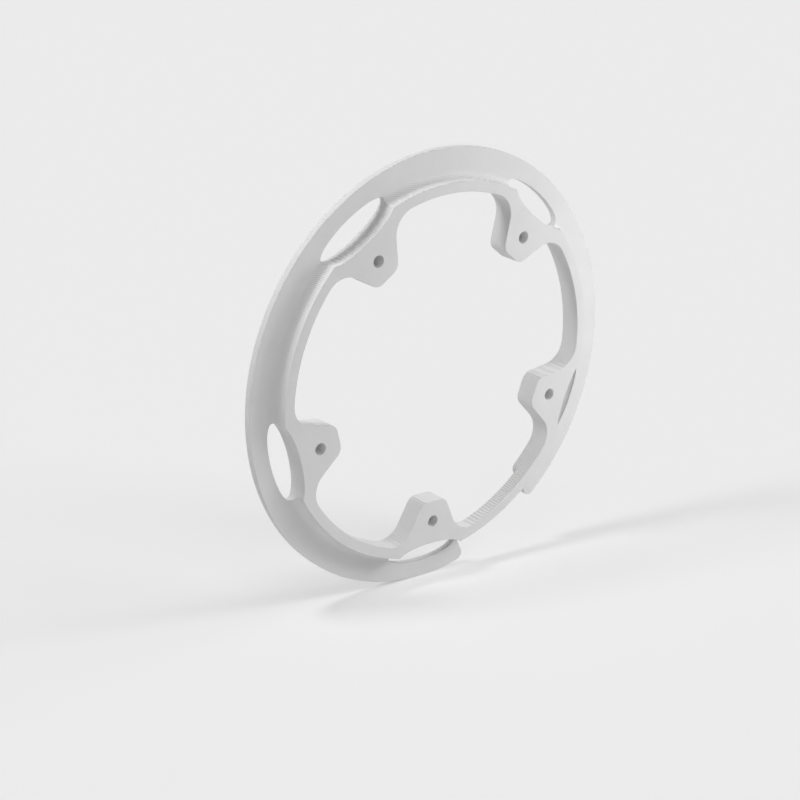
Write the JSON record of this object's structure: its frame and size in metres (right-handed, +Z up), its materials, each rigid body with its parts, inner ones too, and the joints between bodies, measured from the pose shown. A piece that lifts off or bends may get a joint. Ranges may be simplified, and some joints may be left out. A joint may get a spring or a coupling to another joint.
{
  "type": "bicycle chain guard",
  "caption": "Ring-shaped chain guard for a bicycle crank: a raised ring with a thin outer flange, inward bolt tabs, oval windows and a gap in the flange.",
  "frame": {"origin": "centre of the bolt circle, on the guard's back face", "axes": "+Y along the guard's axis, out of the back face towards the crank spider, so the front faces -Y; +Z up and +X right as seen from the front, with the flange gap below and to the right"},
  "size_m": [0.185, 0.009, 0.185],
  "materials": {
    "white_plastic": "matte"
  },
  "bodies": {
    "root": {"chain_guard": "white_plastic"}
  },
  "joints": []
}
